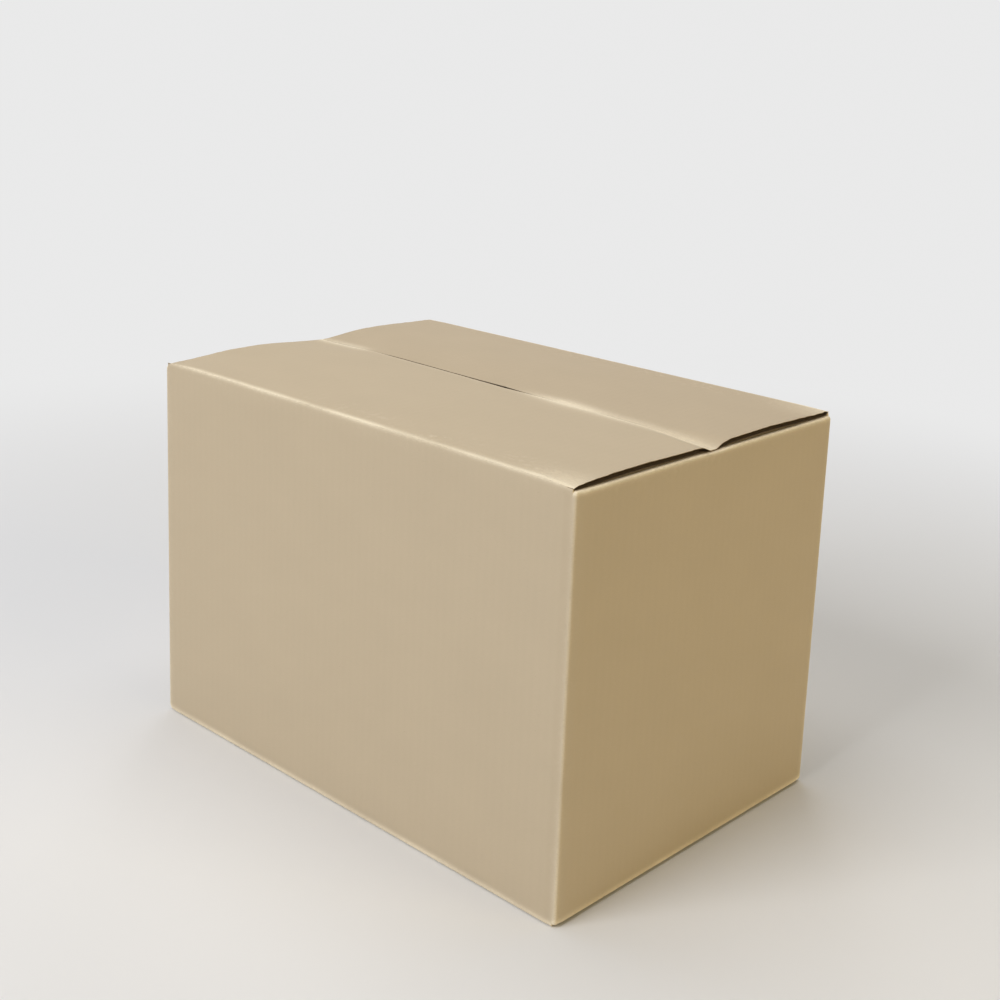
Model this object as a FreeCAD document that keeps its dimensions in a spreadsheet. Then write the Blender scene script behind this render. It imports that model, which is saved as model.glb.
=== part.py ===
import FreeCAD, Part
import Sketcher

import math
import os

# Regular slotted carton of single-wall corrugated board, folded from one sheet and closed.
# +X runs along the long panels and +Z is up. The front long panel faces -Y.
# The origin is on the ground, under the middle of the box. All lengths are in millimetres.
#
# The sheet's two outer top flaps turn on their creases, so each is a solid of its own.
# The walls, the glue tab, the inner top flaps and the glued bottom are the third solid.

# Driving dimensions
SIZES = {
    "inside_length": 457.0,
    "inside_width": 305.0,
    "inside_height": 305.0,
    "board": 4.0,
    "liner": 0.5,
    "medium": 0.6,
    "flute_pitch": 7.8,
    "flute_crest": 1.2,
    "flute_foot": 0.7,
    "open_flute_depth": 4.0,
    "fold_radius": 3.0,
    "corner_radius": 3.0,
    "crease_depth": 0.8,
    "crease_reach": 5.0,
    "layer_gap": 0.3,
    "seam_gap": 1.0,
    "seam_crush": 0.6,
    "flap_bow": 2.6,
    "slot_setback": 5.0,
    "inner_flap_depth": 151.0,
    "inner_flap_side_gap": 3.0,
    "tab_width": 35.0,
    "tab_end_gap": 4.0,
    "tab_slant": 9.0,
    "joint_slit_width": 0.8,
    "joint_slit_depth": 1.4,
}

# Places worked out from the driving dimensions, as expressions that the features share
INNER_X = "(Sizes.inside_length / 2)"
INNER_Y = "(Sizes.inside_width / 2)"
OUTER_X = "(Sizes.inside_length / 2 + Sizes.board)"
OUTER_Y = "(Sizes.inside_width / 2 + Sizes.board)"
INSIDE_FLOOR = "(2 * Sizes.board)"
INSIDE_CEILING = "(2 * Sizes.board + Sizes.inside_height)"
END_CREASE = "(3 * Sizes.board + Sizes.inside_height)"
FOLD_UP = "(4 * Sizes.board + Sizes.inside_height + Sizes.layer_gap)"
FLAP_HALF = f"({OUTER_X} - Sizes.slot_setback)"
SEAM = "(Sizes.seam_gap / 2)"
FOLD = "Sizes.fold_radius"

# The crease that an outer top flap turns on, pressed in from the sharp corner of its fold
CREASE_Y = f"({OUTER_Y} - Sizes.crease_depth)"
CREASE_UP = f"({FOLD_UP} - Sizes.crease_depth)"

# Cutting profiles reach this far past the faces that they cut
PAST = "1"


def new_sheet(doc):
    """Makes the spreadsheet of driving dimensions, one aliased cell each."""
    sheet = doc.addObject("Spreadsheet::Sheet", "Sizes")
    for row, (alias, value) in enumerate(SIZES.items(), start=1):
        sheet.set(f"A{row}", alias)
        sheet.set(f"B{row}", str(value))
        sheet.setAlias(f"B{row}", alias)
    doc.recompute()
    return sheet


def new_body(doc, label):
    """Makes an empty body whose label names the piece."""
    body = doc.addObject("PartDesign::Body", label)
    body.Label = label
    return body


def new_sketch(body, name, plane, offset=None):
    """Attaches a sketch to one of the body's origin planes, moved along its normal."""
    sketch = body.newObject("Sketcher::SketchObject", name)
    origin_plane = next(item for item in body.Origin.OriginFeatures if item.Role == plane)
    sketch.AttachmentSupport = (origin_plane, [""])
    sketch.MapMode = "FlatFace"
    if offset is not None:
        sketch.setExpression(".AttachmentOffset.Base.z", offset)
    body.Document.recompute()
    return sketch


def tie(sketch, kind, index, end, expression):
    """Ties one coordinate of an edge's end to an expression, measured from the origin."""
    value = float(sketch.evalExpression(expression))
    row = sketch.addConstraint(Sketcher.Constraint(kind, -1, 1, index, end, value))
    sketch.setExpression(f"Constraints[{row}]", expression)


def outline(sketch, corners):
    """Draws one closed outline and ties each of its corners to the sheet.

    A corner is (across, up), or (across, up, radius, side) when the edge that leaves
    it is an arc. Side +1 bulges to the left of the direction of travel, -1 to the right.
    """
    places = []
    for corner in corners:
        across = float(sketch.evalExpression(corner[0]))
        up = float(sketch.evalExpression(corner[1]))
        places.append(FreeCAD.Vector(across, up, 0))
    ends = []
    for number, corner in enumerate(corners):
        begin = places[number]
        finish = places[(number + 1) % len(corners)]
        if len(corner) == 2:
            index = sketch.addGeometry(Part.LineSegment(begin, finish), False)
            ends.append((index, 1, 2))
            continue
        radius = float(sketch.evalExpression(corner[2]))
        chord = finish - begin
        left = FreeCAD.Vector(-chord.y, chord.x, 0).normalize()
        centre_depth = (radius**2 - chord.Length**2 / 4) ** 0.5
        centre = (begin + finish) * 0.5 - left * corner[3] * centre_depth
        turns_back = corner[3] > 0
        first, last = (finish, begin) if turns_back else (begin, finish)
        angles = [math.atan2(place.y - centre.y, place.x - centre.x) for place in (first, last)]
        circle = Part.Circle(centre, FreeCAD.Vector(0, 0, 1), radius)
        index = sketch.addGeometry(Part.ArcOfCircle(circle, *angles), False)
        ends.append((index, 2, 1) if turns_back else (index, 1, 2))
        row = sketch.addConstraint(Sketcher.Constraint("Radius", index, radius))
        sketch.setExpression(f"Constraints[{row}]", corner[2])
    for number, corner in enumerate(corners):
        index, start, stop = ends[number]
        next_index, next_start, _ = ends[(number + 1) % len(corners)]
        sketch.addConstraint(Sketcher.Constraint("Coincident", index, stop, next_index, next_start))
        tie(sketch, "DistanceX", index, start, corner[0])
        tie(sketch, "DistanceY", index, start, corner[1])


def add_pad(body, name, sketch, length, side="One side", reverse=False):
    """Adds material along the sketch's normal."""
    pad = body.newObject("PartDesign::Pad", name)
    pad.Profile = sketch
    pad.SideType = side
    pad.Reversed = reverse
    pad.setExpression("Length", length)
    body.Document.recompute()
    return pad


def add_pocket(body, name, sketch, length, side="One side", reverse=False):
    """Cuts against the sketch's normal and stops if nothing was cut."""
    before = body.Shape.Volume
    pocket = body.newObject("PartDesign::Pocket", name)
    pocket.Profile = sketch
    pocket.SideType = side
    pocket.Reversed = reverse
    pocket.setExpression("Length", length)
    body.Document.recompute()
    if body.Shape.Volume >= before - 1e-6:
        raise RuntimeError(f"{name} cuts nothing")
    return pocket


def mirror_along_x(body, name, feature):
    """Repeats a feature at the other end of the box."""
    mirror = body.newObject("PartDesign::Mirrored", name)
    mirror.Originals = [feature]
    plane = next(item for item in body.Origin.OriginFeatures if item.Role == "YZ_Plane")
    mirror.MirrorPlane = (plane, [""])
    body.Tip = mirror
    body.Document.recompute()
    return mirror


def open_flutes(body, name, plane, offset, half_span, low, high, reverse):
    """Opens the flutes along a raw edge: a pair of hollows each pitch, in a row.

    The wavy medium stays between them. A hollow is wide at one liner and narrow at the
    other, and every second one is upside down.
    """
    count = f"floor(2 * ({half_span} - Sizes.open_flute_depth - 2 * Sizes.liner) / Sizes.flute_pitch - 0.5)"
    first = f"(-{count} * Sizes.flute_pitch / 2 + Sizes.flute_pitch / 4)"
    wide = "(Sizes.flute_pitch / 2 - Sizes.flute_foot)"
    narrow = "(Sizes.flute_crest / 2)"
    below = f"({low} + Sizes.liner)"
    above = f"({high} - Sizes.liner)"
    sketch = new_sketch(body, f"{name}_sketch", plane, offset)
    outline(sketch, [
        (f"{first} - {wide}", below),
        (f"{first} + {wide}", below),
        (f"{first} + {narrow}", f"{above} - Sizes.medium"),
        (f"{first} - {narrow}", f"{above} - Sizes.medium"),
    ])
    second = f"({first} + Sizes.flute_pitch / 2)"
    outline(sketch, [
        (f"{second} - {narrow}", f"{below} + Sizes.medium"),
        (f"{second} + {narrow}", f"{below} + Sizes.medium"),
        (f"{second} + {wide}", above),
        (f"{second} - {wide}", above),
    ])
    pocket = add_pocket(body, name, sketch, "Sizes.open_flute_depth", reverse=reverse)
    row = body.newObject("PartDesign::LinearPattern", f"{name}_row")
    row.Originals = [pocket]
    row.Direction = (sketch, ["H_Axis"])
    row.Mode = "Spacing"
    row.setExpression("Offset", "Sizes.flute_pitch")
    row.setExpression("Occurrences", count)
    body.Tip = row
    body.Document.recompute()
    return row


def make_outer_flap(doc, label, turn):
    """Makes an outer top flap: a bowed panel, mitred where it folds.

    It is drawn over the front long panel, and turned about the upright axis to its place.
    From the crease its face slopes up to full height, and a little of the bow follows.
    """
    body = new_body(doc, label)
    slope_end = f"(-{OUTER_Y} + Sizes.crease_reach)"
    seam_top = f"({FOLD_UP} - Sizes.seam_crush)"
    under = f"({FOLD_UP} - Sizes.board)"
    top_chord = f"({OUTER_Y} - Sizes.crease_reach - {SEAM})"
    under_chord = f"({INNER_Y} - {SEAM})"
    top_radius = f"({top_chord}^2 / (8 * Sizes.flap_bow) + Sizes.flap_bow / 2)"
    under_radius = f"({under_chord}^2 / (8 * Sizes.flap_bow) + Sizes.flap_bow / 2)"
    section = new_sketch(body, "flap_section", "YZ_Plane")
    outline(section, [
        (f"-{INNER_Y}", under),
        (f"-{CREASE_Y}", CREASE_UP),
        (slope_end, FOLD_UP, top_radius, 1),
        (f"-{SEAM}", seam_top),
        (f"-{SEAM}", under, under_radius, -1),
    ])
    add_pad(body, "flap_panel", section, f"2 * {FLAP_HALF}", side="Symmetric")

    # The raw end edges are cut along a flute, so a channel is open between the liners
    channel_start = f"(-{INNER_Y} + Sizes.board)"
    channel_end = f"(-{SEAM} + {PAST})"
    channel_chord = f"({channel_end} - {channel_start})"
    channel_bow = "(Sizes.flap_bow - Sizes.liner / 2)"
    channel_radius = f"({channel_chord}^2 / (8 * {channel_bow}) + {channel_bow} / 2)"
    channel = new_sketch(body, "end_channel_sketch", "YZ_Plane", FLAP_HALF)
    outline(channel, [
        (channel_start, f"{under} + Sizes.liner"),
        (channel_start, f"{FOLD_UP} - Sizes.liner", channel_radius, 1),
        (channel_end, f"{seam_top} - Sizes.liner"),
        (channel_end, f"{under} + Sizes.liner", channel_radius, -1),
    ])
    cut = add_pocket(body, "end_channel", channel, "Sizes.open_flute_depth")
    mirror_along_x(body, "end_channels", cut)

    # The flutes run from the fold to the seam, so their ends are open along the seam edge
    open_flutes(body, "seam_flutes", "XZ_Plane", SEAM, FLAP_HALF, under, seam_top, reverse=True)
    body.Placement = FreeCAD.Placement(
        FreeCAD.Vector(0, 0, 0), FreeCAD.Rotation(FreeCAD.Vector(0, 0, 1), turn))
    doc.recompute()
    return body


def add_walls(body):
    """Adds the four panels as one sleeve with rounded upright folds."""
    sleeve = new_sketch(body, "sleeve_sketch", "XY_Plane")
    for across, up in ((OUTER_X, OUTER_Y), (INNER_X, INNER_Y)):
        outline(sleeve, [
            (f"-{across}", f"-{up}"),
            (across, f"-{up}"),
            (across, up),
            (f"-{across}", up),
        ])
    walls = add_pad(body, "walls", sleeve, FOLD_UP)
    outer = float(sleeve.evalExpression(OUTER_X))
    corners = []
    for number, edge in enumerate(walls.Shape.Edges, start=1):
        low = edge.BoundBox
        upright = low.ZLength > max(low.XLength, low.YLength) + 1
        if upright and abs(abs(low.Center.x) - outer) < 0.01:
            corners.append(f"Edge{number}")
    folds = body.newObject("PartDesign::Fillet", "upright_folds")
    folds.Base = (walls, corners)
    folds.setExpression("Radius", "Sizes.corner_radius")
    body.Document.recompute()


def add_flat_flaps(body, name, height, rectangles):
    """Adds flaps that lie flat, one board thick, from a height up."""
    sketch = new_sketch(body, f"{name}_sketch", "XY_Plane", height)
    for left, right, front, back in rectangles:
        outline(sketch, [(left, front), (right, front), (right, back), (left, back)])
    add_pad(body, name, sketch, "Sizes.board")


def add_bottom_and_inner_flaps(body):
    """Adds the two bottom layers and the inner top flaps."""
    hold = f"({INNER_Y} + Sizes.board / 2)"
    add_flat_flaps(body, "outer_bottom_flaps", None, [
        (f"-{FLAP_HALF}", FLAP_HALF, f"-{hold}", f"-{SEAM}"),
        (f"-{FLAP_HALF}", FLAP_HALF, SEAM, hold),
    ])
    root = f"({INNER_X} + Sizes.board / 2)"
    tip = f"({INNER_X} - Sizes.inner_flap_depth)"
    side = f"({INNER_Y} - Sizes.inner_flap_side_gap)"
    inner = [(f"-{root}", f"-{tip}", f"-{side}", side), (tip, root, f"-{side}", side)]
    add_flat_flaps(body, "inner_bottom_flaps", "Sizes.board", inner)
    add_flat_flaps(body, "inner_top_flaps", INSIDE_CEILING, inner)


def fold_long_creases(body):
    """Shapes the tops and bottoms of the long panels, where the outer flaps fold.

    The top slopes in to the crease and then down to the inner face, just under the
    flap's own mitre, so the flap turns on the crease and clears the panel.
    """
    rim = f"({FOLD_UP} - Sizes.crease_reach)"
    beyond = f"({OUTER_Y} + {PAST})"
    top = new_sketch(body, "long_top_fold_sketch", "YZ_Plane")
    outline(top, [
        (f"-{beyond}", rim),
        (f"-{OUTER_Y}", rim),
        (f"-{CREASE_Y}", CREASE_UP),
        (f"-{INNER_Y}", END_CREASE),
        (INNER_Y, END_CREASE),
        (CREASE_Y, CREASE_UP),
        (OUTER_Y, rim),
        (beyond, rim),
        (beyond, f"{FOLD_UP} + {PAST}"),
        (f"-{beyond}", f"{FOLD_UP} + {PAST}"),
    ])
    along = f"2 * ({OUTER_X} + {PAST})"
    add_pocket(body, "long_top_folds", top, along, side="Symmetric")
    bottom = new_sketch(body, "long_bottom_fold_sketch", "YZ_Plane")
    round_start = f"({OUTER_Y} - {FOLD})"
    outline(bottom, [
        (f"-{beyond}", f"-{PAST}"),
        (f"-{round_start}", f"-{PAST}"),
        (f"-{round_start}", "0.001", FOLD, 1),
        (f"-{OUTER_Y}", FOLD),
        (f"-{beyond}", FOLD),
    ])
    outline(bottom, [
        (beyond, f"-{PAST}"),
        (round_start, f"-{PAST}"),
        (round_start, "0.001", FOLD, -1),
        (OUTER_Y, FOLD),
        (beyond, FOLD),
    ])
    add_pocket(body, "long_bottom_folds", bottom, along, side="Symmetric")


def fold_end_creases(body):
    """Rounds the end panels' creases and cuts the corner slots beside the outer flaps."""
    beyond = f"({OUTER_X} + {PAST})"
    round_start = f"({OUTER_X} - {FOLD})"
    deep = f"2 * ({OUTER_Y} + {PAST})"
    top = new_sketch(body, "end_top_fold_sketch", "XZ_Plane")
    bottom = new_sketch(body, "end_bottom_fold_sketch", "XZ_Plane")
    for sign, side in (("", -1), ("-", 1)):
        outline(top, [
            (f"{sign}{FLAP_HALF}", f"{FOLD_UP} + {PAST}"),
            (f"{sign}{FLAP_HALF}", END_CREASE),
            (f"{sign}{round_start}", END_CREASE, FOLD, -side),
            (f"{sign}{OUTER_X}", f"{END_CREASE} - {FOLD}"),
            (f"{sign}{beyond}", f"{END_CREASE} - {FOLD}"),
            (f"{sign}{beyond}", f"{FOLD_UP} + {PAST}"),
        ])
        outline(bottom, [
            (f"{sign}{FLAP_HALF}", f"-{PAST}"),
            (f"{sign}{FLAP_HALF}", "Sizes.board"),
            (f"{sign}{round_start}", "Sizes.board", FOLD, side),
            (f"{sign}{OUTER_X}", f"Sizes.board + {FOLD}"),
            (f"{sign}{beyond}", f"Sizes.board + {FOLD}"),
            (f"{sign}{beyond}", f"-{PAST}"),
        ])
    add_pocket(body, "end_top_folds", top, deep, side="Symmetric")
    add_pocket(body, "end_bottom_folds", bottom, deep, side="Symmetric")


def open_bottom_channels(body):
    """Opens the flute along the end edges of the outer bottom flaps."""
    sketch = new_sketch(body, "bottom_channel_sketch", "YZ_Plane", FLAP_HALF)
    far = f"({INNER_Y} - Sizes.board)"
    for sign in ("", "-"):
        outline(sketch, [
            (f"{sign}{SEAM}", "Sizes.liner"),
            (f"{sign}{far}", "Sizes.liner"),
            (f"{sign}{far}", "Sizes.board - Sizes.liner"),
            (f"{sign}{SEAM}", "Sizes.board - Sizes.liner"),
        ])
    cut = add_pocket(body, "bottom_channel", sketch, "Sizes.open_flute_depth")
    mirror_along_x(body, "bottom_channels", cut)


def add_glue_tab(body):
    """Adds the tab glued inside the back left corner, and the slit where the sheet ends."""
    sketch = new_sketch(body, "glue_tab_sketch", "YZ_Plane", f"-{INNER_X}")
    free = f"({INNER_Y} - Sizes.tab_width)"
    hold = f"({INNER_Y} + Sizes.board / 2)"
    low = f"({INSIDE_FLOOR} + Sizes.tab_end_gap)"
    high = f"({INSIDE_CEILING} - Sizes.tab_end_gap)"
    outline(sketch, [
        (hold, low),
        (hold, high),
        (free, f"{high} - Sizes.tab_slant"),
        (free, f"{low} + Sizes.tab_slant"),
    ])
    add_pad(body, "glue_tab", sketch, "Sizes.board")
    slit = new_sketch(body, "joint_slit_sketch", "XY_Plane", f"-{PAST}")
    left = f"(-{INNER_X} - Sizes.joint_slit_width)"
    outline(slit, [
        (left, f"{OUTER_Y} - Sizes.joint_slit_depth"),
        (f"-{INNER_X}", f"{OUTER_Y} - Sizes.joint_slit_depth"),
        (f"-{INNER_X}", f"{OUTER_Y} + {PAST}"),
        (left, f"{OUTER_Y} + {PAST}"),
    ])
    add_pocket(body, "joint_slit", slit, f"{FOLD_UP} + 2 * {PAST}", reverse=True)


def make_carton_body(doc):
    """Makes the folded sheet without its outer top flaps."""
    body = new_body(doc, "carton_body")
    add_walls(body)
    add_bottom_and_inner_flaps(body)
    fold_long_creases(body)
    fold_end_creases(body)
    open_bottom_channels(body)
    add_glue_tab(body)
    tip = f"({INNER_X} - Sizes.inner_flap_depth)"
    half_span = f"({INNER_Y} - Sizes.inner_flap_side_gap)"
    for name, offset, reverse in (("right_tip_flutes", tip, True), ("left_tip_flutes", f"-{tip}", False)):
        open_flutes(body, name, "YZ_Plane", offset, half_span, INSIDE_CEILING, END_CREASE, reverse)
    return body


def check_and_export(doc, pieces):
    """Stops on any failed object or bad shape, then writes each piece."""
    for item in doc.Objects:
        if "Invalid" in item.State or "Error" in item.State:
            raise RuntimeError(f"{item.Label} did not compute: {item.State}")
    for piece in pieces:
        if piece.Shape.isNull() or not piece.Shape.isValid():
            raise RuntimeError(f"{piece.Label} has no valid shape")
    for piece in pieces:
        piece.Shape.exportStep(f"parts/{piece.Label}.step")
        box = piece.Shape.BoundBox
        print(piece.Label, len(piece.Shape.Solids), "solid,", round(piece.Shape.Volume), "mm3,", box)


os.makedirs("parts", exist_ok=True)
document = FreeCAD.newDocument("closed_carton")
new_sheet(document)
all_pieces = [
    make_carton_body(document),
    make_outer_flap(document, "front_top_flap", 0),
    make_outer_flap(document, "back_top_flap", 180),
]
check_and_export(document, all_pieces)
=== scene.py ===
import logging
import math
from dataclasses import dataclass, field
from enum import Enum

import bpy
import numpy as np
from mathutils import Matrix, Vector


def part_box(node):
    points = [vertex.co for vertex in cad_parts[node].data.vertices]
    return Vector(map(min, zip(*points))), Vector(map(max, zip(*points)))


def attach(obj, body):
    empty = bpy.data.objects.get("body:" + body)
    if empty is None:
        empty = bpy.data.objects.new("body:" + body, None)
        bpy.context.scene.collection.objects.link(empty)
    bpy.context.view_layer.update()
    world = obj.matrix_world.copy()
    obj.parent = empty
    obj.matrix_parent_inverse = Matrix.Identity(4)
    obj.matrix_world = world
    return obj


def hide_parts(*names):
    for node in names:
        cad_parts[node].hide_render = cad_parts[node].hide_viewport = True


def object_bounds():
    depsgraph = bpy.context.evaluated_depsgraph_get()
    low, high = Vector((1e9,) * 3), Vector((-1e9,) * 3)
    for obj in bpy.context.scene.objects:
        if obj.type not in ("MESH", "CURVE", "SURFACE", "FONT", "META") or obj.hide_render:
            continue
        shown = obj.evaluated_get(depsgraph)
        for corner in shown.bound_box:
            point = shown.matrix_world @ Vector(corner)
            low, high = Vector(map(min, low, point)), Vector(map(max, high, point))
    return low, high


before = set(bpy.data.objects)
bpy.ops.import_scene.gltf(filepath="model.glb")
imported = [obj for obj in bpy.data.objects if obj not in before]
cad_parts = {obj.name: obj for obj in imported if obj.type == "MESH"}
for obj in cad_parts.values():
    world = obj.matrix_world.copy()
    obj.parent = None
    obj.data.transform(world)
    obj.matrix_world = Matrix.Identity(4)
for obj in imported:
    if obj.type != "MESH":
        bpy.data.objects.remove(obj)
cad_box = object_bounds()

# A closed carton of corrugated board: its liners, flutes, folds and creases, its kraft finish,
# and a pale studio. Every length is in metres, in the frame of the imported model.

log = logging.getLogger("carton")

MM = 0.001
TURN = 2 * math.pi
SHORTEST_WAVE = 0.35
WAVE_SPREAD = 1.5
SHARP_DEGREES = 38.0


class Body(Enum):
    """Rigid bodies that the pieces ride on."""

    CARTON = "carton"
    FRONT = "front_flap"
    BACK = "back_flap"


class Side(Enum):
    """Which way a repeated piece faces: the sign of its axis."""

    PLUS = 1.0
    MINUS = -1.0


def smooth_step(value: np.ndarray) -> np.ndarray:
    """Eases from 0 to 1: three times the square less twice the cube, held at both ends."""
    held = np.clip(value, 0.0, 1.0)
    return held * held * (3 - 2 * held)


def bell(distance: np.ndarray, width: float) -> np.ndarray:
    """Falls off from 1 as the exponent of minus the squared distance over the width."""
    return np.exp(-((distance / width) ** 2))


def ramp(value: np.ndarray, start: float, length: float) -> np.ndarray:
    """Eases from 0 at the start to 1 a length further on."""
    return smooth_step((value - start) / length)


@dataclass(frozen=True)
class Band:
    """A rubbed, wrinkled or pressed band: how strong it is, and how wide its bell is."""

    amount: float
    width: float

    def over(self, distance: np.ndarray) -> np.ndarray:
        """The amount times a bell over the distance from the band's middle."""
        return self.amount * bell(distance, self.width)


def eased(start: float, end: float, count: int) -> np.ndarray:
    """Places samples closer together near both ends, by half a cosine wave.

    Args:
        start: First value.
        end: Last value.
        count: Number of samples.

    Returns:
        The values in order.
    """
    share = (1 - np.cos(np.linspace(0.0, math.pi, count))) / 2
    return start + (end - start) * share


def ripple(across: np.ndarray, along: np.ndarray, seed: int, waves: int, longest: float) -> np.ndarray:
    """Adds up sine waves of random heading, length and phase, for a gentle uneven surface.

    Args:
        across: First coordinate of each point.
        along: Second coordinate of each point.
        seed: Seed of the random draws.
        waves: Number of waves.
        longest: Length of the longest wave.

    Returns:
        A height for each point, mostly between -1 and 1.
    """
    draw = np.random.default_rng(seed)
    heading = draw.uniform(0, TURN, waves)
    length = longest * draw.uniform(SHORTEST_WAVE, 1.0, waves)
    phase = draw.uniform(0, TURN, waves)
    reach = across[..., None] * np.cos(heading) + along[..., None] * np.sin(heading)
    return np.sin(TURN * reach / length + phase).sum(-1) / waves**0.5 / WAVE_SPREAD


@dataclass
class Skin:
    """One closed skin: its points and faces, and what the finish reads at each point."""

    points: np.ndarray
    faces: np.ndarray
    sheet: np.ndarray
    # How pale each point is: rubbing, and painted highlight along creases and edges.
    rub_and_highlight: np.ndarray
    # How far each point is painted with the shade of the board's inside.
    raw: np.ndarray
    crush: np.ndarray

    def outward(self) -> "Skin":
        """Turns the faces round if the signed volume says that they point inwards."""
        a, b, c, d = (self.points[self.faces[:, k]] for k in range(4))
        volume = (np.cross(a, b) * c).sum() + (np.cross(a, c) * d).sum()
        if volume < 0:
            self.faces = self.faces[:, ::-1]
        return self


def join(skins: list[Skin]) -> Skin:
    """Puts several skins into one, with the faces counted on."""
    starts = np.cumsum([0] + [len(skin.points) for skin in skins[:-1]])
    faces = [skin.faces + start for skin, start in zip(skins, starts)]
    names = ("points", "sheet", "rub_and_highlight", "raw", "crush")
    whole = {name: np.concatenate([getattr(skin, name) for skin in skins]) for name in names}
    return Skin(faces=np.concatenate(faces), **whole)


def grid_faces(rows: int, columns: int, closed: bool = False) -> np.ndarray:
    """Joins a grid of points, stored row by row, into four-sided faces.

    Args:
        rows: Number of rows.
        columns: Number of points in a row.
        closed: Whether the last row and column join the first.

    Returns:
        The point numbers of each face.
    """
    extra = 0 if closed else 1
    row, column = np.meshgrid(np.arange(rows - extra), np.arange(columns - extra), indexing="ij")
    next_row = (row + 1) % rows
    next_column = (column + 1) % columns
    corners = (row * columns + column, row * columns + next_column,
               next_row * columns + next_column, next_row * columns + column)
    return np.stack(corners, -1).reshape(-1, 4)


def slab_faces(rows: int, columns: int) -> np.ndarray:
    """Joins an upper and a lower grid of the same size into a closed slab.

    The lower grid's points follow the upper grid's, and a rim of faces joins their edges.
    """
    upper = grid_faces(rows, columns)
    count = rows * columns
    numbers = np.arange(count).reshape(rows, columns)
    edge = np.concatenate([numbers[0, :-1], numbers[:-1, -1], numbers[-1, :0:-1], numbers[:0:-1, 0]])
    after = np.roll(edge, -1)
    rim = np.stack([after, edge, edge + count, after + count], -1)
    return np.concatenate([upper, upper[:, ::-1] + count, rim])


def twice(values: np.ndarray) -> np.ndarray:
    """Gives a grid's values to a slab's upper points and again to its lower ones."""
    return np.concatenate([values.reshape(-1)] * 2)


@dataclass(frozen=True)
class Grain:
    """A random grain: its scale along the sheet, up it and into it, and its detail."""

    scale: tuple[float, float, float]
    detail: float


@dataclass(frozen=True)
class Kraft:
    """Uncoated kraft liner: its colours, its grain, its relief and how rough it is."""

    name: str
    colour: tuple[float, float, float] = (0.525, 0.432, 0.302)
    # The pale colour of rubbed board, which also paints the highlights along creases and edges.
    rub_and_highlight_colour: tuple[float, float, float] = (0.840, 0.735, 0.550)
    # A dark brown that paints the shade inside the board: the flute channels, the liners' hidden faces
    # and the cut rim.
    medium: tuple[float, float, float] = (0.150, 0.102, 0.060)
    pitch: float = 7.8 * MM
    fibre_grain: Grain = Grain((300.0, 1500.0, 900.0), 4.0)
    fine_grain: Grain = Grain((2400.0, 2600.0, 2400.0), 2.0)
    mottle_grain: Grain = Grain((16.0, 24.0, 16.0), 3.0)
    flake_grain: Grain = Grain((520.0, 1100.0, 700.0), 1.0)
    wrinkle_grain: Grain = Grain((190.0, 230.0, 200.0), 2.5)
    patch_grain: Grain = Grain((38.0, 62.0, 40.0), 1.0)
    fibre: float = 0.07
    mottle: float = 0.06
    fine: float = 0.05
    washboard: float = 0.004
    flake_start: float = 0.70
    flake_gain: float = 9.0
    flake_dark: float = 0.12
    patch_start: float = 0.42
    patch_gain: float = 5.0
    rub_even: float = 0.85
    rub_by_fibre: float = 1.4
    rub_by_mottle: float = 1.6
    painted_shade_amount: float = 0.9
    crumple_pale: float = 1.2
    wave_relief: float = 0.010
    fibre_relief: float = 0.06
    fine_relief: float = 0.03
    crumple_relief: float = 1.1
    bump: float = 0.8
    roughness: float = 0.86
    rougher_by_fibre: float = 0.10
    smoother_by_wear: float = 0.06
    specular: float = 0.28

    def build(self) -> bpy.types.Material:
        """Builds the finish as nodes that follow the flat sheet.

        Returns:
            The material.
        """
        material = bpy.data.materials.new(self.name)
        material.use_nodes = True
        maker = NodeMaker(material.node_tree)
        sheet = maker.make("ShaderNodeAttribute", {"attribute_name": "sheet"}).outputs["Vector"]
        marks = maker.make("ShaderNodeAttribute", {"attribute_name": "marks"}).outputs["Vector"]
        parts = maker.make("ShaderNodeSeparateXYZ", {}, {"Vector": marks})
        rub_and_highlight, raw, crush = (Wire(maker, parts.outputs[axis]) for axis in "XYZ")
        across = Wire(maker, maker.make("ShaderNodeSeparateXYZ", {}, {"Vector": sheet}).outputs["X"])

        fibre = maker.noise(sheet, self.fibre_grain) - 0.5
        fine = maker.noise(sheet, self.fine_grain) - 0.5
        mottle = maker.noise(sheet, self.mottle_grain) - 0.5
        flake = maker.noise(sheet, self.flake_grain)
        wrinkle = maker.noise(sheet, self.wrinkle_grain) - 0.5
        wave = (across * (TURN / self.pitch)).sine()
        patch = ((maker.noise(sheet, self.patch_grain) - self.patch_start) * self.patch_gain).held()
        crumple = crush * patch * wrinkle

        tone = 1 + fibre * self.fibre + mottle * self.mottle + fine * self.fine + wave * self.washboard
        speck = ((flake - self.flake_start) * self.flake_gain).held()
        tone = tone * (1 - speck * self.flake_dark)
        colour = maker.scaled(self.colour, tone)
        # Pale rubbing, partly painted highlight along the creases and the seam, uneven with the fibres.
        uneven_rub = self.rub_even + fibre * self.rub_by_fibre + mottle * self.rub_by_mottle
        colour = maker.mixed((rub_and_highlight * uneven_rub).held(), colour, self.rub_and_highlight_colour)
        # Painted shade: the board's inside and the underside's cut rim are mixed towards the dark brown.
        colour = maker.mixed(raw * self.painted_shade_amount, colour, self.medium)
        colour = maker.mixed((crumple * self.crumple_pale).held(), colour, self.rub_and_highlight_colour)

        height = wave * self.wave_relief + fibre * self.fibre_relief + fine * self.fine_relief
        height = height + crumple * self.crumple_relief
        bump = maker.make("ShaderNodeBump", {},
                          {"Height": height, "Strength": self.bump, "Distance": MM})
        maker.finish({
            "Base Color": colour,
            "Roughness": self.roughness + fibre * self.rougher_by_fibre - rub_and_highlight * self.smoother_by_wear,
            "Normal": bump.outputs["Normal"],
            "Specular IOR Level": self.specular,
        })
        return material


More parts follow.
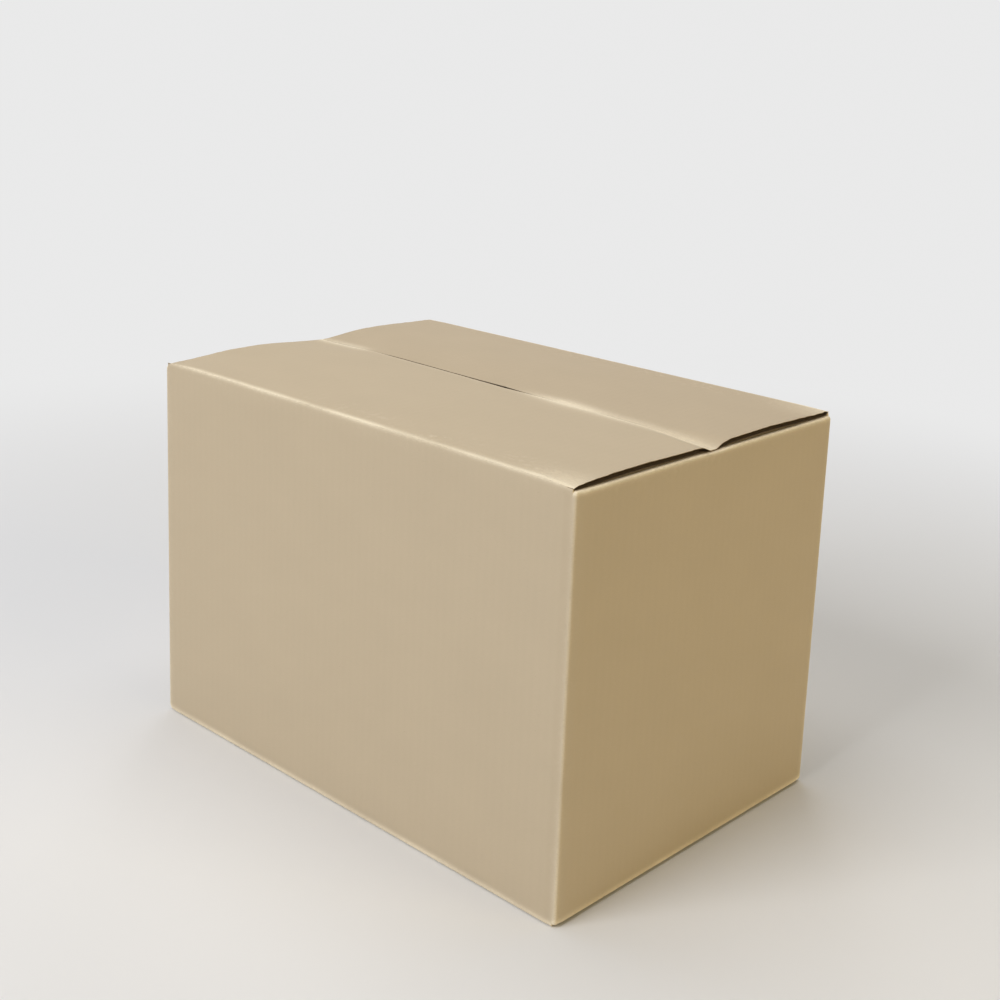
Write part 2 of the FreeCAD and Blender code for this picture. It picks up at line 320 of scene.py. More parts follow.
class NodeMaker:
    """Makes the nodes of one material."""

    def __init__(self, tree: bpy.types.NodeTree) -> None:
        """Keeps the tree that the nodes go into."""
        self.tree = tree

    def first(self, kind: str) -> bpy.types.Node:
        """Finds the tree's own node of one type."""
        return next(node for node in self.tree.nodes if node.type == kind)

    def make(self, kind: str, settings: dict, sockets: dict | None = None) -> bpy.types.Node:
        """Makes one node.

        Args:
            kind: The node's type.
            settings: Its own settings, which are set first.
            sockets: Values or links of its inputs, by name or number.

        Returns:
            The node.
        """
        node = self.tree.nodes.new(kind)
        for name, value in settings.items():
            setattr(node, name, value)
        for name, value in (sockets or {}).items():
            self.feed(node.inputs[name], value)
        return node

    def feed(self, target: bpy.types.NodeSocket, value: object) -> None:
        """Links a wire or a socket to an input, or sets a plain value on it."""
        if isinstance(value, Wire):
            value = value.socket
        if isinstance(value, bpy.types.NodeSocket):
            self.tree.links.new(value, target)
        else:
            target.default_value = value

    def noise(self, sheet: bpy.types.NodeSocket, grain: Grain) -> "Wire":
        """Makes a grain from the sheet's coordinates times its scale for each axis."""
        stretched = self.make("ShaderNodeVectorMath", {"operation": "MULTIPLY"},
                              {0: sheet, 1: grain.scale})
        node = self.make("ShaderNodeTexNoise", {},
                         {"Vector": stretched.outputs[0], "Scale": 1.0, "Detail": grain.detail})
        return Wire(self, node.outputs[0])

    def scaled(self, colour: tuple, factor: "Wire") -> bpy.types.NodeSocket:
        """Multiplies a colour by a number that varies."""
        node = self.make("ShaderNodeVectorMath", {"operation": "SCALE"}, {0: colour, "Scale": factor})
        return node.outputs[0]

    def mixed(self, factor: "Wire", first: object, second: tuple) -> bpy.types.NodeSocket:
        """Mixes two colours by a factor."""
        node = self.make("ShaderNodeMix", {"data_type": "RGBA"},
                         {0: factor, 6: first, 7: (*second, 1.0)})
        return node.outputs[2]

    def finish(self, sockets: dict) -> None:
        """Feeds the surface shader."""
        shader = self.first("BSDF_PRINCIPLED")
        for name, value in sockets.items():
            self.feed(shader.inputs[name], value)


class Wire:
    """A number in a material, which Python's operators work on."""

    def __init__(self, maker: NodeMaker, socket: bpy.types.NodeSocket) -> None:
        """Wraps a socket."""
        self.maker = maker
        self.socket = socket

    def maths(self, operation: str, first: object, second: object = 0.0) -> "Wire":
        """Adds one Math node."""
        node = self.maker.make("ShaderNodeMath", {"operation": operation}, {0: first, 1: second})
        return Wire(self.maker, node.outputs[0])

    def __add__(self, other: object) -> "Wire":
        """This plus the other."""
        return self.maths("ADD", self, other)

    __radd__ = __add__

    def __sub__(self, other: object) -> "Wire":
        """This less the other."""
        return self.maths("SUBTRACT", self, other)

    def __rsub__(self, other: object) -> "Wire":
        """The other less this."""
        return self.maths("SUBTRACT", other, self)

    def __mul__(self, other: object) -> "Wire":
        """This times the other."""
        return self.maths("MULTIPLY", self, other)

    __rmul__ = __mul__

    def sine(self) -> "Wire":
        """The sine of this."""
        return self.maths("SINE", self)

    def held(self) -> "Wire":
        """This, held between 0 and 1."""
        return self.maths("MINIMUM", self.maths("MAXIMUM", self, 0.0), 1.0)


def place(skin: Skin, name: str, body: Body, material: bpy.types.Material,
          node: str) -> bpy.types.Object:
    """Makes a mesh object of a skin and seats it on its body.

    Args:
        skin: The skin.
        name: The piece's name.
        body: The body that it rides on.
        material: Its finish.
        node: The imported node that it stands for.

    Returns:
        The object.
    """
    mesh = bpy.data.meshes.new(name)
    mesh.from_pydata(skin.points.tolist(), [], skin.faces.tolist())
    mesh.polygons.foreach_set("use_smooth", np.ones(len(skin.faces), bool))
    mesh.set_sharp_from_angle(angle=math.radians(SHARP_DEGREES))
    # The marks are the pale rub with painted highlight, the painted shade of the board's inside, and the
    # crush.
    marks = np.stack([skin.rub_and_highlight, skin.raw, skin.crush], -1)
    for title, values in (("sheet", skin.sheet), ("marks", marks)):
        layer = mesh.attributes.new(title, "FLOAT_VECTOR", "POINT")
        layer.data.foreach_set("vector", values.astype(np.float32).ravel())
    mesh.materials.append(material)
    mesh.update()
    piece = bpy.data.objects.new(name, mesh)
    bpy.context.scene.collection.objects.link(piece)
    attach(piece, body.value)
    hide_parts(node)
    log.info("%s: %d points, %d faces, on %s", name, len(skin.points), len(skin.faces), body.value)
    return piece


@dataclass(frozen=True)
class Board:
    """Single-wall corrugated board, and the carton's own folds."""

    thickness: float = 4.0 * MM
    liner: float = 0.42 * MM
    medium: float = 0.30 * MM
    pitch: float = 7.8 * MM
    wave_steps: int = 12
    crease_depth: float = 0.8 * MM
    crease_reach: float = 6.0 * MM
    fold_radius: float = 3.0 * MM
    slot_setback: float = 3.6 * MM
    inner_side_gap: float = 3.0 * MM
    inner_depth: float = 151.0 * MM
    layer_gap: float = 0.3 * MM
    open_channel: float = 4.0 * MM
    rim_shade_reach: float = 1.3 * MM
    most_liner: float = 0.46
    least_swing: float = 0.02 * MM
    medium_rows: int = 12


@dataclass(frozen=True)
class Carton:
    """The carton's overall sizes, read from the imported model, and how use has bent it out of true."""

    board: Board = field(default_factory=Board)
    seam_skew: float = 15.0 * MM
    crease_sag: float = 1.2 * MM
    back_sag: float = 0.35 * MM
    sag_width: float = 14.0 * MM
    corner_rise: Band = Band(0.3 * MM, 13.0 * MM)
    seam_dent: Band = Band(1.0 * MM, 15.0 * MM)

    @property
    def half_x(self) -> float:
        """Distance from the middle to an end panel's outer face."""
        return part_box("carton_body")[1].x

    @property
    def half_y(self) -> float:
        """Distance from the middle to a long panel's outer face."""
        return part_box("carton_body")[1].y

    @property
    def fold_up(self) -> float:
        """Height of the outer top flaps' faces, at the sharp corner of their folds."""
        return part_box("carton_body")[1].z + self.board.crease_depth

    @property
    def end_up(self) -> float:
        """Height of the end panels' creases."""
        return self.fold_up - self.board.thickness - self.board.layer_gap

    @property
    def flap_half(self) -> float:
        """Half the length of the outer flaps."""
        return self.half_x - self.board.slot_setback

    def seam_line(self, x: np.ndarray) -> np.ndarray:
        """How far back the seam lies: a straight line, askew towards the left end."""
        return self.seam_skew * (1 - np.asarray(x) / self.flap_half) / 2

    def corner_sag(self, x: np.ndarray, y: np.ndarray) -> np.ndarray:
        """How far a long crease sags near its ends, as a bell over the distance from them."""
        most = np.where(np.asarray(y) < 0, self.crease_sag, self.back_sag)
        from_end = self.flap_half - np.minimum(np.abs(x), self.flap_half)
        return most * bell(from_end, self.sag_width)

    def end_lift(self, x: np.ndarray, y: np.ndarray) -> np.ndarray:
        """How far an end crease rises at its corners, less its dent under the seam."""
        rise = self.corner_rise.over(self.half_y - np.abs(y))
        return rise - self.seam_dent.over(y - self.seam_line(x))


@dataclass
class CorrugatedFlap:
    """Board between an upper and a lower face: two liners, with the wavy medium between them.

    A flap gives its faces as functions of two grids: the distance across the flutes, and a
    share along them from 0 at the fold to 1 at the raw edge.
    """

    carton: Carton
    finish: bpy.types.Material

    def faces(self, across: np.ndarray, share: np.ndarray) -> tuple[np.ndarray, np.ndarray]:
        """The upper and the lower face's points. Each flap has its own."""
        raise NotImplementedError

    def flat_place(self, across: np.ndarray, share: np.ndarray) -> np.ndarray:
        """Where each point lies on the flat sheet. Each flap has its own."""
        raise NotImplementedError

    def rub_and_highlight(self, across: np.ndarray, share: np.ndarray) -> np.ndarray:
        """How pale each point is, from rubbing and from painted highlight, on a scale from 0 to 1."""
        return np.zeros_like(across)

    def crush(self, across: np.ndarray, share: np.ndarray) -> np.ndarray:
        """How far each point is wrinkled, from 0 to 1."""
        return np.zeros_like(across)

    def cut(self, across: np.ndarray) -> np.ndarray:
        """How far the underside's cut rim is painted with shade, a bell over the distance from either
        end.
        """
        from_end = np.minimum(across - across.min(), across.max() - across)
        return bell(from_end, self.carton.board.rim_shade_reach)

    def layer(self, across: np.ndarray, share: np.ndarray, high: np.ndarray, low: np.ndarray,
              raw: tuple[float, float]) -> Skin:
        """One closed layer between two depths in the board.

        A point is the lower face's, plus a part of the way to the upper face's.

        Args:
            across: Grid of distances across the flutes.
            share: Grid of shares along the flutes.
            high: How far up the layer's top is, as a distance from the lower face.
            low: The same for its underside.
            raw: How far the layer's top and its underside are painted with the shade of the board's
                inside, 1 where the board hides them.

        Returns:
            The layer.
        """
        upper, lower = self.faces(across, share)
        reach = upper - lower
        thick = np.linalg.norm(reach, axis=-1)
        parts = [np.clip(level / thick, 0, 1)[..., None] for level in (high, low)]
        flat = self.flat_place(across, share)
        into = np.zeros_like(flat)
        into[..., 2] = 1.0
        rub_and_highlight = self.rub_and_highlight(across, share).reshape(-1)
        dark = (np.full_like(across, raw[0]), np.maximum(raw[1], self.cut(across)))
        return Skin(
            np.concatenate([(lower + reach * part).reshape(-1, 3) for part in parts]),
            slab_faces(*across.shape),
            np.concatenate([(flat + into * level[..., None]).reshape(-1, 3) for level in (high, low)]),
            np.concatenate([rub_and_highlight * (1 - hidden) for hidden in raw]),
            np.concatenate(dark).reshape(-1),
            twice(self.crush(across, share)),
        ).outward()

    def skin(self, across: np.ndarray, share: np.ndarray, medium_start: float) -> Skin:
        """The whole board: both liners and the medium.

        The medium's middle is half the thickness plus a cosine wave of the distance across,
        as high as the liners leave room for.

        Args:
            across: Distances across the flutes, for the liners.
            share: Shares along the flutes, for the liners.
            medium_start: The share at which the medium starts, past the crushed fold.

        Returns:
            The board's skin.
        """
        board = self.carton.board
        grid = np.meshgrid(across, share, indexing="ij")
        upper, lower = self.faces(*grid)
        thick = np.linalg.norm(upper - lower, axis=-1)
        liner = np.minimum(board.liner, thick * board.most_liner)
        # The liners' hidden faces, and the whole medium below, take the painted shade.
        top = self.layer(*grid, thick, thick - liner, (0.0, 1.0))
        bottom = self.layer(*grid, liner, np.zeros_like(thick), (1.0, 0.0))

        first, last = across[0] + board.open_channel, across[-1] - board.open_channel
        waves = (last - first) / board.pitch
        along_wave = np.linspace(first, last, int(waves * board.wave_steps) + 1)
        rows = share[share >= medium_start]
        rows = rows[np.unique(np.linspace(0, len(rows) - 1, board.medium_rows).astype(int))]
        fine = np.meshgrid(along_wave, rows, indexing="ij")
        upper, lower = self.faces(*fine)
        thick = np.linalg.norm(upper - lower, axis=-1)
        swing = np.maximum(thick / 2 - board.liner - board.medium / 2, board.least_swing)
        middle = thick / 2 + swing * np.cos(TURN * fine[0] / board.pitch)
        half = board.medium / 2
        medium = self.layer(*fine, middle + half, middle - half, (1.0, 1.0))
        return join([top, bottom, medium])


@dataclass
class OuterTopFlap(CorrugatedFlap):
    """An outer top flap: it slopes up from its crease, bows, and dips where it was pressed shut.

    It is drawn over the front long panel; the back one is the same form turned half way round.
    """

    side: Side = Side.MINUS
    bow_peaks: tuple[float, float] = (0.46, 0.26)
    bow_heights: tuple[float, float, float] = (1.3 * MM, 2.25 * MM, 0.9 * MM)
    settle: float = 0.35 * MM
    settle_share: float = 0.12
    dips: tuple[float, float, float] = (2.7 * MM, 0.4 * MM, 4.3 * MM)
    dip_starts: tuple[float, float, float] = (0.52, 0.93, 0.90)
    dip_widths: tuple[float, float] = (0.13, 0.09)
    end_press: tuple[float, float] = (2.2 * MM, 0.9 * MM)
    press_width: float = 0.07
    press_across: tuple[float, float] = (0.10, 0.20)
    sag_reach: float = 16.0 * MM
    uneven: float = 0.10 * MM
    uneven_gain: float = 6.0
    gap_places: tuple[float, ...] = (-0.2275, -0.150, -0.125, -0.055, 0.000, 0.014, 0.026, 0.046, 0.2275)
    gap_widths: tuple[float, ...] = (0.5, 0.5, 1.8, 2.2, 3.0, 3.6, 2.0, 0.4, 0.3)
    wavers: tuple[tuple[float, ...], ...] = ((0.06 * MM, 0.093, 0.0), (0.04 * MM, 0.041, 1.0))
    crease_share: float = 0.1
    mitre_gap: float = 0.05 * MM
    rest_gap: float = 0.1 * MM
    rest_reach: float = 16.0 * MM
    least_board: float = 1.0 * MM
    fray: float = 1.0 * MM
    lower_fray: float = 0.3
    fray_rim: float = 0.5 * MM
    crease_run: float = 5.2 * MM
    panel_run: float = 150.0 * MM
    seam_in: float = 155.0 * MM
    # The pale crease band is rubbing with painted highlight; the seam band is rubbing with painted
    # sheen, the smear a painted sheen and the lip a painted highlight.
    crease_rub_and_highlight: float = 3.0 * MM
    seam_rub: Band = Band(0.55, 6.5 * MM)
    rub_and_sheen_right: tuple[float, float] = (0.02, 0.05)
    rub_and_sheen_left: tuple[float, float] = (0.15, 0.03)
    seam_sheen: Band = Band(0.30, 11.0 * MM)
    seam_sheen_along: tuple[float, float] = (0.085, 0.035)
    lip_highlight: Band = Band(0.35, 2.0 * MM)
    corner_rub: Band = Band(0.60, 36.0 * MM)
    corner_rub_reach: float = 22.0 * MM
    least_wrinkle: float = 0.15
    wrinkle_ramp: tuple[float, float] = (-0.15, 0.30)
    wrinkle_at: float = 8.0 * MM
    wrinkle_width: float = 15.0 * MM
    seam_wrinkle: Band = Band(0.25, 7.0 * MM)
    end_zone: float = 0.02
    end_columns: int = 8
    columns: int = 104
    crease_rows: int = 8
    rows: int = 52

    @property
    def facing(self) -> float:
        """1 for the front flap and -1 for the back one: the way that it reaches along Y."""
        return -self.side.value

    def edge(self, x: np.ndarray) -> np.ndarray:
        """Distance in from the panel's outer face to the raw edge, which follows the seam.

        It is half the box's width, plus the seam's skew and two slow sine waves, less half the gap.
        """
        gap = np.interp(x, self.gap_places, self.gap_widths) * MM
        waver = sum(height * np.sin(TURN * x / length + phase) for height, length, phase in self.wavers)
        return self.carton.half_y + self.facing * (self.carton.seam_line(x) + waver) - gap / 2

    def along_flap(self, along: np.ndarray, values: tuple[float, float, float]) -> np.ndarray:
        """Spreads three values over the flap: the middle one, which bells draw to the outer ones.

        Args:
            along: Shares of the flap's length, from 0 at the left end.
            values: The values at the left end, in the middle and at the right end.

        Returns:
            The value at each share.
        """
        left, middle, right = values
        near_left, near_right = bell(along, self.dip_widths[0]), bell(1 - along, self.dip_widths[1])
        return middle + (left - middle) * near_left + (right - middle) * near_right

    def top(self, x: np.ndarray, depth: np.ndarray) -> np.ndarray:
        """Height of the upper face over a distance in from the outer face of the panel.

        It is a parabola out of the crease, then a skewed half sine wave for the bow, whose
        peak moves along the flap, less an eased dip at the raw edge, a sag at the corners and
        a press at both ends.
        """
        board = self.carton.board
        share = np.clip((depth - board.crease_reach) / (self.edge(x) - board.crease_reach), 0, 1)
        along = (x / self.carton.flap_half + 1) / 2
        peak = self.bow_peaks[0] + (self.bow_peaks[1] - self.bow_peaks[0]) * smooth_step(along)
        height = np.interp(along, (0.0, 0.5, 1.0), self.bow_heights)
        skew = np.log(0.5) / np.log(peak)
        bow = (height + self.settle) * np.sin(math.pi * share**skew)
        settle = self.settle * smooth_step(share / self.settle_share)
        first = self.along_flap(along, self.dip_starts)
        dip = self.along_flap(along, self.dips) * smooth_step((share - first) / (1 - first))
        left, right = self.end_press
        ends = left * bell(along, self.press_width) + right * bell(1 - along, self.press_width)
        press_at, press_reach = self.press_across
        press = ends * bell(share - press_at, press_reach)
        rise = np.clip((board.crease_reach - depth) / (board.crease_reach - board.crease_depth), 0, 1)
        wavy = ripple(x, depth, seed=5 + int(self.side.value), waves=9, longest=0.16)
        uneven = self.uneven * wavy * smooth_step(share * self.uneven_gain)
        sag = self.carton.corner_sag(x, -self.facing) * bell(depth, self.sag_reach)
        low = press + dip + settle + sag
        return self.carton.fold_up - board.crease_depth * rise**2 + bow + uneven - low

    def faces(self, across: np.ndarray, share: np.ndarray) -> tuple[np.ndarray, np.ndarray]:
        """The upper face, and the underside with its mitre at the crease.

        Args:
            across: Grid of places along the panel.
            share: Grid of shares, of which the first few are the crease.

        Returns:
            The upper and the lower points.
        """
        board = self.carton.board
        carton = self.carton
        edge = self.edge(across)
        in_crease = np.clip(share / self.crease_share, 0, 1)
        in_panel = np.clip((share - self.crease_share) / (1 - self.crease_share), 0, 1)
        crease = board.crease_depth
        upper_in = crease + (board.crease_reach - crease) * in_crease
        upper_in = upper_in + (edge - board.crease_reach) * in_panel
        root = crease + self.mitre_gap
        lower_in = root + (board.thickness - root) * in_crease + (edge - board.thickness) * in_panel
        upper_up = self.top(across, upper_in)
        ends = bell(carton.flap_half - np.abs(across), self.rest_reach)
        lift = carton.end_lift(across, (lower_in - carton.half_y) * self.facing)
        rest = carton.end_up + self.rest_gap + np.minimum(lift, 0) * ends
        under_up = np.maximum(self.top(across, lower_in) - board.thickness, rest)
        mitre_up = carton.fold_up - lower_in - carton.corner_sag(across, -self.facing)
        lower_up = np.where(share < self.crease_share, np.maximum(mitre_up, under_up), under_up)
        upper_up = np.maximum(upper_up, rest + self.least_board)
        seed = 21 + int(self.side.value)
        torn = np.abs(ripple(upper_in, across * 0, seed=seed, waves=14, longest=0.035))
        at_end = np.abs(across) > carton.flap_half - self.fray_rim
        grids = []
        for inward, up, part in ((upper_in, upper_up, 1.0), (lower_in, lower_up, self.lower_fray)):
            x = across - np.sign(across) * self.fray * (part * torn) * at_end
            grids.append(np.stack([x, (inward - carton.half_y) * self.facing, up], -1))
        return grids[0], grids[1]

    def flat_place(self, across: np.ndarray, share: np.ndarray) -> np.ndarray:
        """On the sheet the flap lies above its long panel."""
        carton = self.carton
        start = 0.0 if self.side is Side.MINUS else 2 * (carton.half_x + carton.half_y)
        u = across if self.side is Side.MINUS else start - across
        return np.stack([u, carton.fold_up + share * carton.half_y, np.zeros_like(u)], -1)

    def inward(self, share: np.ndarray) -> np.ndarray:
        """Roughly how far in from the crease a share lies: short at first, then the panel."""
        in_crease = np.clip(share / self.crease_share, 0, 1)
        in_panel = np.clip(share - self.crease_share, 0, 1) / (1 - self.crease_share)
        return in_crease * self.crease_run + in_panel * self.panel_run

    def rub_and_highlight(self, across: np.ndarray, share: np.ndarray) -> np.ndarray:
        """Pale along the crease, from rubbing and painted highlight; along the raw edge where it was
        pressed shut, from rubbing and painted sheen; and a painted highlight along the front flap's lip.
        """
        inward = self.inward(share)
        from_seam = self.seam_in - inward
        crease = bell(inward, self.crease_rub_and_highlight)
        rub_and_sheen = np.maximum(ramp(across, *self.rub_and_sheen_right), ramp(-across, *self.rub_and_sheen_left))
        edge = rub_and_sheen * self.seam_rub.over(from_seam)
        seam_sheen_at, seam_sheen_width = self.seam_sheen_along
        seam_sheen = bell(across - seam_sheen_at, seam_sheen_width) * self.seam_sheen.over(from_seam)
        lip = (self.side is Side.MINUS) * self.lip_highlight.over(from_seam)
        from_corner = self.carton.flap_half - across
        corner = self.corner_rub.over(from_corner) * bell(inward, self.corner_rub_reach)
        return np.clip(crease + edge + seam_sheen + lip + corner, 0, 1)

    def crush(self, across: np.ndarray, share: np.ndarray) -> np.ndarray:
        """Wrinkled beside the crease, more towards the near right corner."""
        inward = self.inward(share)
        toward = self.least_wrinkle + (1 - self.least_wrinkle) * ramp(across, *self.wrinkle_ramp)
        beside = toward * bell(inward - self.wrinkle_at, self.wrinkle_width)
        return beside + self.seam_wrinkle.over(self.seam_in - inward)

    def build(self) -> bpy.types.Object:
        """Builds the flap and seats it on its body."""
        half = self.carton.flap_half
        inner = half - self.end_zone
        across = np.concatenate([eased(-half, -inner, self.end_columns)[:-1],
                                 np.linspace(-inner, inner, self.columns),
                                 eased(inner, half, self.end_columns)[1:]])
        share = np.concatenate([np.linspace(0, self.crease_share, self.crease_rows)[:-1],
                                eased(self.crease_share, 1.0, self.rows)])
        is_front = self.side is Side.MINUS
        name = "front_top_flap_board" if is_front else "back_top_flap_board"
        node = "front_top_flap" if is_front else "back_top_flap"
        body = Body.FRONT if is_front else Body.BACK
        skin = self.skin(across, share, self.crease_share)
        return place(skin, name, body, self.finish, node)


@dataclass
class InnerFlap(CorrugatedFlap):
    """A flap of an end panel, which lies flat inside the top or the bottom."""

    side: Side = Side.PLUS
    low: float = 0.0
    thickness: float = 3.95 * MM
    droop: float = 1.4 * MM
    dented: float = 1.0
    name: str = "inner_flap_board"
    dent_share: float = 0.15
    fold_rub: Band = Band(0.5, 2.5 * MM)
    tip_rub: Band = Band(0.35, 1.2 * MM)
    columns: int = 40
    rows: int = 14

    def faces(self, across: np.ndarray, share: np.ndarray) -> tuple[np.ndarray, np.ndarray]:
        """Flat faces that sag with the square of the share."""
        carton = self.carton
        root = carton.half_x - carton.board.thickness
        x = self.side.value * (root - share * carton.board.inner_depth)
        dent = self.dented * np.minimum(carton.end_lift(x, across), 0) * bell(share, self.dent_share)
        sag = self.droop * share**2 - dent
        lower = np.stack([x, across, self.low - sag], -1)
        upper = np.stack([x, across, self.low + self.thickness - sag], -1)
        return upper, lower

    def flat_place(self, across: np.ndarray, share: np.ndarray) -> np.ndarray:
        """On the sheet the flap lies above its end panel."""
        carton = self.carton
        u = carton.half_x + carton.half_y + across * self.side.value
        if self.side is Side.MINUS:
            u = u + 2 * (carton.half_x + carton.half_y)
        return np.stack([u, self.low + share * carton.board.inner_depth, np.zeros_like(u)], -1)

    def rub_and_highlight(self, across: np.ndarray, share: np.ndarray) -> np.ndarray:
        """A little pale at the fold and at the tip."""
        depth = self.carton.board.inner_depth
        return self.fold_rub.over(share * depth) + self.tip_rub.over((1 - share) * depth)

    def build(self) -> bpy.types.Object:
        """Builds the flap and seats it on the carton."""
        half = self.carton.half_y - self.carton.board.thickness - self.carton.board.inner_side_gap
        skin = self.skin(np.linspace(-half, half, self.columns), eased(0, 1, self.rows), 0.0)
        return place(skin, self.name, Body.CARTON, self.finish, "carton_body")


@dataclass
class OuterBottomFlap(CorrugatedFlap):
    """An outer bottom flap of a long panel, glued flat."""

    side: Side = Side.MINUS
    seam_gap: float = 1.0 * MM
    upper_gap: float = 0.05 * MM
    depth: float = 0.152
    fold_rub: Band = Band(0.5, 3.0 * MM)
    seam_rub: Band = Band(0.4, 2.5 * MM)
    end_rub: Band = Band(0.4, 2.0 * MM)
    columns: int = 60
    rows: int = 14

    def faces(self, across: np.ndarray, share: np.ndarray) -> tuple[np.ndarray, np.ndarray]:
        """Flat faces on the ground, one board apart."""
        carton = self.carton
        root = carton.half_y - carton.board.thickness
        y = self.side.value * (root + (self.seam_gap / 2 - root) * share)
        lower = np.stack([across, y, np.zeros_like(y)], -1)
        upper = np.stack([across, y, np.full_like(y, carton.board.thickness - self.upper_gap)], -1)
        return upper, lower

    def flat_place(self, across: np.ndarray, share: np.ndarray) -> np.ndarray:
        """On the sheet the flap lies below its long panel."""
        carton = self.carton
        u = across if self.side is Side.MINUS else 2 * (carton.half_x + carton.half_y) - across
        return np.stack([u, -share * carton.half_y, np.zeros_like(u)], -1)

    def rub_and_highlight(self, across: np.ndarray, share: np.ndarray) -> np.ndarray:
        """Scuffed at the fold, at the seam and at the ends."""
        fold = self.fold_rub.over(share * self.depth)
        edge = self.seam_rub.over((1 - share) * self.depth)
        ends = self.end_rub.over(self.carton.flap_half - np.abs(across))
        return np.clip(fold + edge + ends, 0, 1)

    def build(self) -> bpy.types.Object:
        """Builds the flap and seats it on the carton."""
        half = self.carton.flap_half
        skin = self.skin(np.linspace(-half, half, self.columns), eased(0, 1, self.rows), 0.0)
        which = "front" if self.side is Side.MINUS else "back"
        name = f"{which}_bottom_flap_board"
        return place(skin, name, Body.CARTON, self.finish, "carton_body")


@dataclass
class Sleeve:
    """The four panels as one sleeve, with pressed folds between them.

    A grid of columns round the box and rows round the wall's own section makes it: up the
    outer face, over the top fold, down the inner face and under.
    """

    carton: Carton
    finish: bpy.types.Material
    shoulder_depth: float = 0.75 * MM
    shoulder_reach: float = 8.0 * MM
    shoulder_columns: int = 9
    column_step: float = 7.0 * MM
    least_columns: int = 8
    least_setback: float = 0.2 * MM
    step: float = 0.1 * MM
    end_ground: float = 1.4 * MM
    hollow: float = 0.35 * MM
    hollow_middle: float = 0.9
    hollow_ramp: tuple[float, float] = (0.01, 0.06)
    free_reach: float = 0.05
    pressed_share: float = 0.6
    pressed_ramp: tuple[float, float] = (4.0 * MM, 7.0 * MM)
    lift_reach: float = 14.0 * MM
    inner_corner: float = 0.4 * MM
    slit: tuple[float, float] = (1.2 * MM, 0.8 * MM)
    slit_inset: float = 0.4 * MM
    slit_play: float = 0.02 * MM
    corner_steps: int = 7
    face_steps: int = 56
    fold_steps: int = 9
    mitre_steps: int = 5
    inner_steps: int = 26
    outer_share: float = 0.6
    # The pale bands along the upright folds, the top creases and the bottom edges are rubbing with
    # painted highlight.
    fold_rub_and_highlight: tuple[float, ...] = (0.30, 0.60, 0.50, 0.50, 0.50)
    fold_rub: float = 3.2 * MM
    foot_rub: Band = Band(0.35, 4.0 * MM)
    foot_height: float = 0.12
    crown_rub_and_highlight: float = 2.4 * MM
    ground_rub_and_highlight: Band = Band(0.85, 2.6 * MM)
    ground_rub_up: float = 2.0 * MM
    level_rub_and_highlight: tuple[float, float] = (0.95, 0.88)
    fold_crush: Band = Band(0.3, 8.0 * MM)
    crown_crush: Band = Band(0.4, 9.0 * MM)

    def panel(self, length: float, slit_at: float | None) -> tuple[np.ndarray, np.ndarray]:
        """Places along one panel, from fold to fold, and how far each is pressed in.

        Args:
            length: The panel's length between its folds.
            slit_at: Where the sheet's raw edge leaves a slit, or None.

        Returns:
            The places, and the depths below the panel's plane.
        """
        reach = self.shoulder_reach
        count = max(int(length / self.column_step), self.least_columns)
        board = self.carton.board
        setback = max(board.slot_setback - board.fold_radius, self.least_setback)
        slot_edges = [setback - self.step, setback + self.step]
        places = np.concatenate([
            np.linspace(0, reach, self.shoulder_columns)[:-1],
            np.linspace(reach, length - reach, count),
            np.linspace(length - reach, length, self.shoulder_columns)[1:],
            slot_edges,
            length - np.array(slot_edges)])
        depth, width = self.slit
        if slit_at is not None:
            edges = np.array([-width / 2 - self.step, -width / 2, width / 2, width / 2 + self.step])
            places = np.concatenate([places, slit_at + edges])
        places = np.unique(np.round(places, 7))
        nearest = np.minimum(places, length - places)
        pressed = self.shoulder_depth * (1 - smooth_step(nearest / reach))
        if slit_at is not None:
            pressed = pressed + depth * (np.abs(places - slit_at) < width / 2 + self.slit_play)
        return places, pressed

    def path(self) -> dict[str, np.ndarray]:
        """Walks round the box and gives each column's outer and inner point.

        The outer path is four pressed panels joined by quarter circles; the inner one is a
        rectangle with tight corners. Columns with the same number belong together.
        """
        carton = self.carton
        board = carton.board
        radius = board.fold_radius
        outer, inner, flat, long_side, free = [], [], [], [], []
        sizes = [(carton.half_x, carton.half_y), (carton.half_y, carton.half_x)] * 2
        travelled = -carton.half_x
        for number, (half, out) in enumerate(sizes):
            angle = number * math.pi / 2
            spin = np.array([[math.cos(angle), -math.sin(angle)], [math.sin(angle), math.cos(angle)]])
            straight = 2 * (half - radius)
            slit_at = straight + radius - board.thickness - self.slit_inset
            places, pressed = self.panel(straight, slit_at if number == 2 else None)
            along = places - straight / 2
            inner_half = half - board.thickness - self.inner_corner
            inner_along = along * inner_half / (straight / 2)
            inner_out = out - board.thickness
            outer.append(np.stack([along, -(out - pressed)], -1) @ spin.T)
            inner.append(np.stack([inner_along, np.full_like(along, -inner_out)], -1) @ spin.T)
            flat.append(travelled + radius + places)
            slot = half - board.slot_setback
            long_side.append((np.abs(along) < slot) & (number % 2 == 0))
            free.append(smooth_step(np.minimum(places, straight - places) / self.free_reach))
            sweep = np.linspace(0, math.pi / 2, self.corner_steps + 1)[1:-1]
            arc = np.stack([np.sin(sweep), -np.cos(sweep)], -1)
            centre = np.array([half - radius, -(out - radius)])
            tight = np.array([inner_half, -(inner_out - self.inner_corner)])
            outer.append((centre + arc * (radius - self.shoulder_depth)) @ spin.T)
            inner.append((tight + arc * self.inner_corner) @ spin.T)
            flat.append(travelled + 2 * half - radius + sweep / (math.pi / 2) * 2 * radius)
            long_side.append(np.zeros(len(sweep), bool))
            free.append(np.zeros(len(sweep)))
            travelled += 2 * half
        parts = {"outer": outer, "inner": inner, "flat": flat, "long_side": long_side, "free": free}
        return {name: np.concatenate(part) for name, part in parts.items()}

